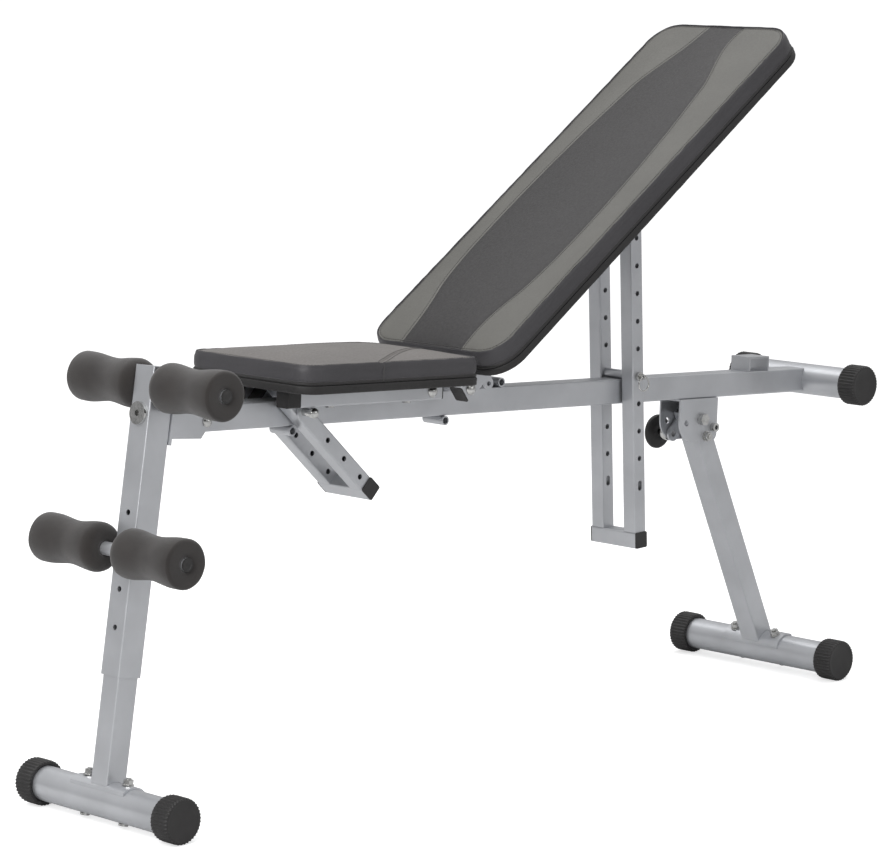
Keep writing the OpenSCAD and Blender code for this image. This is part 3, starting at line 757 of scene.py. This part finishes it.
def backrest():
    """Backrest pad: dark centre panel between two grey ones."""
    pad = Pad("back_pad", pad_axes("backrest_hinge", -BACK_INCLINE), 18, 822, 140, (45, 45), 30, 7.0,
              stripe=lambda u: piecewise(u, STRIPE)).build()
    made = place(pad.make([olive, charcoal, slate, trim], 3.5), "backrest", "back_vinyl", "back_cushion")
    place(board("back_base", pad, [trim, dust_cloth]), "backrest", "board", "back_board")
    place(staples("back_staples", pad), "backrest", "zinc")
    place(stitches("back_stitches", pad, made, [pad.rim()] + pad.seam_paths(3.8)), "backrest", "back_vinyl")


# ---- foam rollers, caps and knob ----

FOAM_WOBBLE = 0.35      # unevenness of the foam's skin
FACE_RIM = 5.5          # rounding at a roller's outer face


def roller_profile():
    """Waisted foam sleeve, from its inner end outwards, with soft shoulders and a dished outer face."""
    shoulder = 15.0
    rows = [(BAR_R + 0.15, 0.0), (BAR_R + 5, 0.2), (ROLLER_R - shoulder, 0.0)]
    for i in range(1, 9):
        a = math.radians(90 * i / 8)
        rows.append((ROLLER_R - shoulder * (1 - math.sin(a)), shoulder * (1 - math.cos(a))))
    middle = 24
    for i in range(1, middle):
        t = i / middle
        dip = (ROLLER_R - WAIST_R) * (0.5 - 0.5 * math.cos(2 * math.pi * t))
        rows.append((ROLLER_R - dip, shoulder + (ROLLER_L - 2 * shoulder) * t))
    rows.append((ROLLER_R, ROLLER_L - shoulder))
    for i in range(1, 9):
        a = math.radians(90 * i / 8)
        rows.append((ROLLER_R - FACE_RIM * (1 - math.cos(a)), ROLLER_L - FACE_RIM * (1 - math.sin(a))))
    rows += [(BAR_R + 9, ROLLER_L - 0.2), (BAR_R + 4, ROLLER_L - 1.2), (BAR_R + 0.15, ROLLER_L - 1.8)]
    return rows


def rollers():
    profile = roller_profile()
    for level in ("upper", "lower"):
        for where, side in (("near", -1), ("far", 1)):
            name = f"{level}_{where}"
            x, _, z = joints[f"roller_{name}_spin"]["pos_m"]
            axes = in_mm(along_y(Vector((x, side * ROLLER_IN * MM, z)), side))
            made = turned(f"foam_{name}", axes, profile, [foam], closed=True, wobble=FOAM_WOBBLE)
            place(made, f"roller_{name}", "foam", f"{level}_roller_{where}")


def cap_profile():
    """Push-on foot cap from the middle of its outer face, round the ribbed rim and back inside."""
    inner = FOOT_R + 0.15
    return [
        (0.0, -0.8), (20.0, -0.8), (22.0, -0.5), (26.5, -0.4), (27.5, 0.0), (CAP_R - 3.0, 0.0),
        (CAP_R - 1.2, -0.7), (CAP_R - 0.3, -2.0), (CAP_R, -3.6), (CAP_R, -CAP_L + 2.5),
        (CAP_R - 0.8, -CAP_L + 0.6), (CAP_R - 2.2, -CAP_L), (inner + 1.0, -CAP_L), (inner, -CAP_L + 1.0),
        (inner, -3.0), (0.0, -3.0),
    ]


RIBBED_ROWS = (6, 7, 8, 9, 10)      # rows of cap_profile that carry the ribs
RIBS = 38
RIB_DEPTH = 1.7
CAP_BODIES = {
    "front_foot_caps": "sliding_post", "rear_foot_caps": "folding_leg", "rear_cross_caps": "frame",
}


def caps():
    for node, body in CAP_BODIES.items():
        low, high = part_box(node)
        centre = (Vector(low) + Vector(high)) / 2
        for where, side in (("near", -1), ("far", 1)):
            end = high[1] if side > 0 else low[1]
            axes = in_mm(along_y(Vector((centre.x, end, centre.z)), side))
            made = turned(
                f"{node}_{where}", axes, cap_profile(), [black], RIBS * 8, ribs=RIBS, rib_depth=RIB_DEPTH,
                ribbed=RIBBED_ROWS,
            )
            place(made, body, "black_plastic", node)


def knob():
    """Round grip of the rear leg's plunger."""
    low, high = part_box("plunger_knob")
    centre = (Vector(low) + Vector(high)) / 2
    radius, depth = (high[0] - low[0]) / 2 / MM, (high[1] - low[1]) / MM
    bore, bore_depth = 5.05, 4.8
    profile = [
        (bore, 0.0), (radius * 0.55, 0.0), (radius * 0.62, 0.6), (radius * 0.9, 0.8), (radius - 1.0, 1.6),
        (radius, 3.4), (radius, depth * 0.55), (radius - 1.2, depth * 0.72), (radius - 4.0, depth * 0.88),
        (radius * 0.6, depth - 0.3), (radius * 0.3, depth), (0.0, depth), (0.0, bore_depth), (bore, bore_depth),
    ]
    axes = in_mm(along_y(Vector((centre.x, low[1], centre.z))))
    made = turned("knob_grip", axes, profile, [black], closed=True)
    place(made, "plunger", "black_plastic", "plunger_knob")


# ---- stage, light and camera ----

def seen_only(tree, glow_kind, strength):
    """Adds a white glow that only the camera sees, so the studio looks white without lighting the bench."""
    path = tree.nodes.new("ShaderNodeLightPath").outputs["Is Camera Ray"]
    scaled = tree.nodes.new("ShaderNodeMath")
    scaled.operation = "MULTIPLY"
    scaled.inputs[1].default_value = strength
    glow = tree.nodes.new(glow_kind)
    glow.inputs["Color"].default_value = (1, 1, 1, 1)
    both = tree.nodes.new("ShaderNodeAddShader")
    output = next(n for n in tree.nodes if "Output" in n.bl_idname)
    tree.links.new(path, scaled.inputs[0])
    tree.links.new(scaled.outputs[0], glow.inputs["Strength"])
    tree.links.new(output.inputs["Surface"].links[0].from_socket, both.inputs[0])
    tree.links.new(glow.outputs[0], both.inputs[1])
    tree.links.new(both.outputs[0], output.inputs["Surface"])


def stage():
    floor = Shader("studio_floor", Roughness=0.7, Specular_IOR_Level=0.1)
    floor.use(Base_Color=floor.blend(floor.noise(0.8), (0.66, 0.66, 0.66), (0.68, 0.68, 0.68)))
    seen_only(floor.tree, "ShaderNodeEmission", 0.62)
    bpy.ops.mesh.primitive_plane_add(size=240)
    plane = bpy.context.object
    plane.name = "floor"
    plane.data.materials.append(floor.material)
    plane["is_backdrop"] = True


def area_light(name, location, target, size, power):
    light = bpy.data.lights.new(name, "AREA")
    light.shape = "RECTANGLE"
    light.size, light.size_y = size
    light.energy = power
    lamp = bpy.data.objects.new(name, light)
    lamp.location = location
    lamp.rotation_euler = (Vector(target) - Vector(location)).to_track_quat("-Z", "Y").to_euler()
    bpy.context.scene.collection.objects.link(lamp)


def light():
    world = bpy.data.worlds.new("studio")
    bpy.context.scene.world = world
    world.use_nodes = True
    nodes, links = world.node_tree.nodes, world.node_tree.links
    up = nodes.new("ShaderNodeSeparateXYZ")
    links.new(nodes.new("ShaderNodeTexCoord").outputs["Generated"], up.inputs[0])
    ramp = nodes.new("ShaderNodeValToRGB")
    for element, (position, grey) in zip(ramp.color_ramp.elements, ((0.0, 0.34), (0.9, 0.80))):
        element.position, element.color = position, (grey, grey, grey * 1.01, 1)
    links.new(up.outputs["Z"], ramp.inputs["Fac"])
    links.new(ramp.outputs["Color"], nodes["Background"].inputs["Color"])
    seen_only(world.node_tree, "ShaderNodeBackground", 0.7)
    middle = (0, 0, 0.5)
    area_light("key", (-3.6, -0.8, 2.4), middle, (2.2, 2.2), 95)
    area_light("fill", (1.8, -4.2, 1.8), middle, (3.0, 2.0), 16)
    area_light("top", (0.6, 0.8, 3.4), middle, (3.5, 2.5), 55)
    bpy.context.scene.view_settings.view_transform = "Standard"


CAMERA_AT = (-3.7409, -3.7583, 1.2992)      # metres
CAMERA_ANGLES = (-44.236, 8.982, -0.424)    # azimuth, elevation and roll, degrees
CAMERA_LENS = 144.65


def camera():
    """Long lens from the front left, a little above the seat."""
    azimuth, elevation, roll = (math.radians(a) for a in CAMERA_ANGLES)
    level = Vector((-math.sin(azimuth), math.cos(azimuth), 0))
    forward = level * math.cos(elevation) - Vector((0, 0, math.sin(elevation)))
    right = Vector((math.cos(azimuth), math.sin(azimuth), 0))
    up = right.cross(forward)
    across = right * math.cos(roll) + up * math.sin(roll)
    above = up * math.cos(roll) - right * math.sin(roll)
    lens = bpy.data.cameras.new("camera")
    lens.lens, lens.sensor_width = CAMERA_LENS, 36
    lens.clip_start, lens.clip_end = 0.1, 100
    eye = bpy.data.objects.new("camera", lens)
    facing = Matrix((across, above, -forward)).transposed().to_4x4()
    eye.matrix_world = Matrix.Translation(CAMERA_AT) @ facing
    bpy.context.scene.collection.objects.link(eye)
    bpy.context.scene.camera = eye


camera()
light()
stage()
paint_cad_nodes()
seat()
backrest()
rollers()
caps()
knob()
[[list(corner) for corner in box] for box in (cad_box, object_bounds())]
